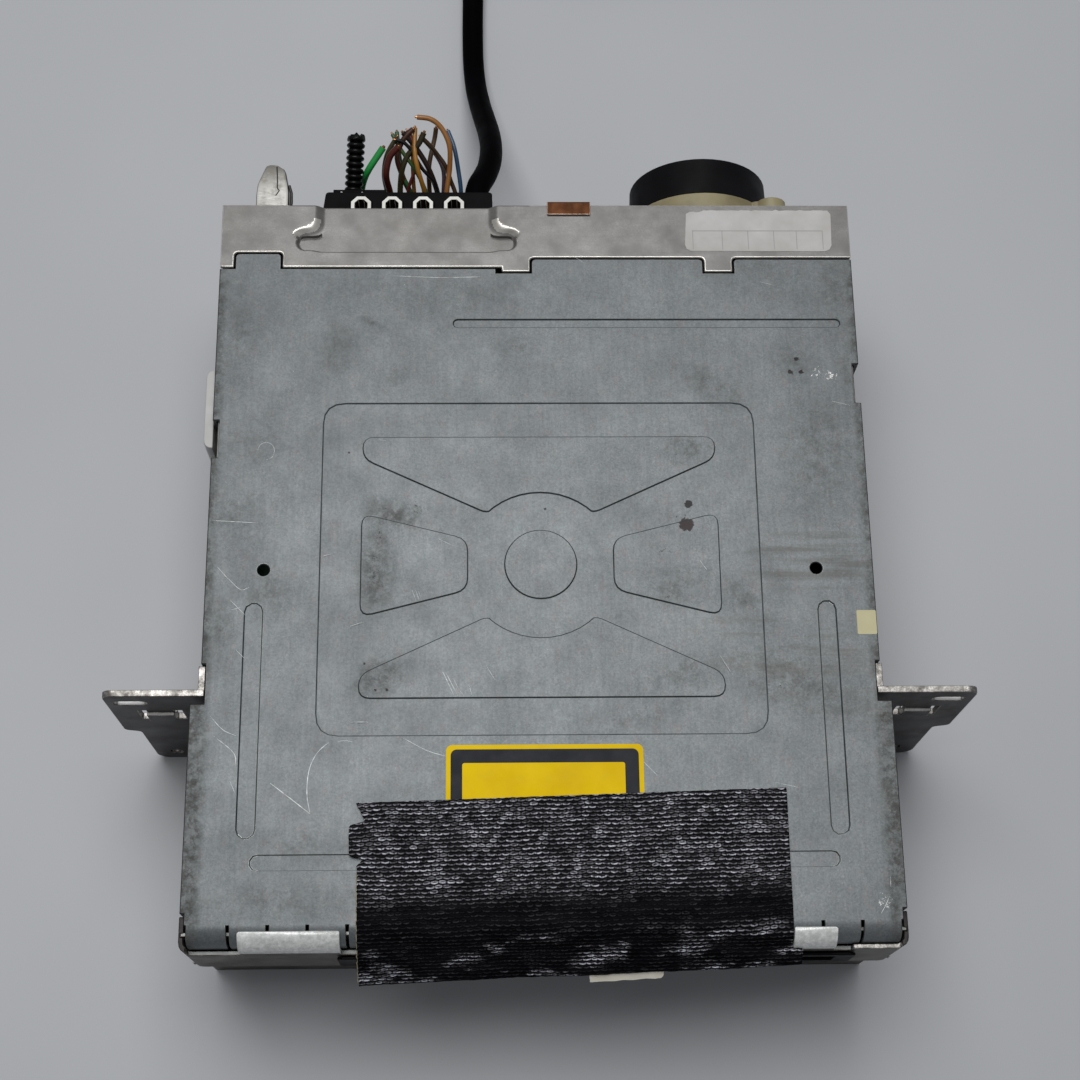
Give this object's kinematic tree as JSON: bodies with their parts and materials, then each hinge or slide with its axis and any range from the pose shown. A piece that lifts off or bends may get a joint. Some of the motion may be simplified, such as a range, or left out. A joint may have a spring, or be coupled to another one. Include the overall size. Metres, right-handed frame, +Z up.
{
  "type": "car head unit",
  "caption": "Slot-loading disc head unit for a car in a sheet steel case, without face plate, with brackets, fan, harness plug and cable.",
  "frame": {"origin": "on the underside of the base, below the centre of the circle pressed in the lid", "axes": "+Z up through the lid, +Y to the rear wall, +X to the right seen from the front"},
  "size_m": [0.2308, 0.4482, 0.0712],
  "materials": {
    "frame_zinc": "zinc plated sheet",
    "lid_zinc": "zinc plated sheet, fine grain, handling scratches",
    "cover_zinc": "zinc plated sheet, warmer and lighter",
    "black_plastic": "satin",
    "bare_steel": "dull bare steel",
    "bright_steel": "bright plated",
    "black_cloth": "woven, slightly glossy",
    "copper": "copper coloured spring metal",
    "clear_plastic": "clear",
    "white_plastic": "satin",
    "wire_green_thick": "smooth wire sleeve",
    "wire_red_thick": "smooth wire sleeve",
    "wire_olive": "smooth wire sleeve",
    "wire_green_dark": "smooth wire sleeve",
    "wire_yellow": "smooth wire sleeve",
    "wire_orange_long": "smooth wire sleeve",
    "wire_violet": "smooth wire sleeve",
    "wire_brown": "smooth wire sleeve",
    "wire_blue": "smooth wire sleeve",
    "black_sheath": "braided sleeve over the cable",
    "cream_plastic": "satin",
    "board_green": "lacquered board",
    "grey_aluminium": "cast",
    "black_rubber": "matte",
    "lens_blue": "coated lens"
  },
  "bodies": {
    "unit": {"chassis_tray": "frame_zinc", "top_lid": "lid_zinc", "rear_cover": "cover_zinc", "front_frame": "frame_zinc", "disc_slot_bezel": "black_plastic", "mounting_bracket_left": "bare_steel", "mounting_bracket_right": "bare_steel", "bracket_screw_left_1": "bright_steel", "bracket_screw_left_2": "bright_steel", "case_screw_left": "bright_steel", "bracket_screw_right_1": "bright_steel", "bracket_screw_right_2": "bright_steel", "case_screw_right": "bright_steel", "cloth_tape": "black_cloth", "contact_clip": "copper", "locating_finger": "clear_plastic", "side_bumper": "white_plastic", "connector_header": "black_plastic", "connector_plug": "black_plastic", "wire_green_thick": "wire_green_thick", "wire_red_thick": "wire_red_thick", "wire_olive": "wire_olive", "wire_green_dark": "wire_green_dark", "wire_yellow": "wire_yellow", "wire_orange_long": "wire_orange_long", "wire_violet": "wire_violet", "wire_brown": "wire_brown", "wire_blue": "wire_blue", "plug_collar_1": "white_plastic", "plug_collar_2": "white_plastic", "plug_collar_3": "white_plastic", "plug_collar_4": "white_plastic", "ribbed_sleeve_stub": "black_plastic", "harness_cable": "black_sheath", "harness_coil": "black_sheath", "cable_connector": "black_plastic", "fan_flange": "cream_plastic", "fan_housing": "black_plastic", "main_board": "board_green", "tuner_can": "frame_zinc", "aerial_socket": "bright_steel", "heat_sink": "grey_aluminium", "damper_left_1": "black_rubber", "damper_left_2": "black_rubber", "damper_right_1": "black_rubber", "damper_right_2": "black_rubber", "drive_frame": "frame_zinc", "spindle_motor": "bright_steel", "guide_rod_left": "bright_steel", "guide_rod_right": "bright_steel", "sled_motor": "bright_steel", "loading_motor": "bright_steel"},
    "fan_wheel": {"fan_rotor": "black_plastic"},
    "disc_table": {"turntable": "black_plastic"},
    "screw": {"lead_screw": "bright_steel"},
    "sled": {"laser_sled": "grey_aluminium", "laser_lens": "lens_blue"},
    "roller": {"loading_roller": "black_rubber", "roller_shaft_gear": "white_plastic"},
    "pinion": {"drive_gear": "white_plastic"}
  },
  "joints": [
    {"name": "fan_spin", "type": "hinge", "parent": "unit", "child": "fan_wheel", "pos_m": [0.049, 0.1195, 0.047], "axis": [0, 1, 0], "continuous": true},
    {"name": "table_spin", "type": "hinge", "parent": "unit", "child": "disc_table", "pos_m": [0.0135, 0, 0.05], "axis": [0, 0, 1], "continuous": true},
    {"name": "sled_travel", "type": "slide", "parent": "unit", "child": "sled", "axis": [0, 1, 0], "range_m": [0, 0.035]},
    {"name": "screw_spin", "type": "hinge", "parent": "unit", "child": "screw", "pos_m": [0.0485, 0.039, 0.0354], "axis": [0, 1, 0], "range_deg": [-5, 4205]},
    {"name": "roller_spin", "type": "hinge", "parent": "unit", "child": "roller", "pos_m": [0.0135, -0.086, 0.0486], "axis": [1, 0, 0], "continuous": true},
    {"name": "pinion_spin", "type": "hinge", "parent": "unit", "child": "pinion", "pos_m": [0.0816, -0.07582, 0.03842], "axis": [1, 0, 0], "continuous": true}
  ],
  "couplings": [
    {"joint": "screw_spin", "follows": "sled_travel", "rad_per_m": 2094.4},
    {"joint": "pinion_spin", "follows": "roller_spin", "ratio": -2}
  ]
}
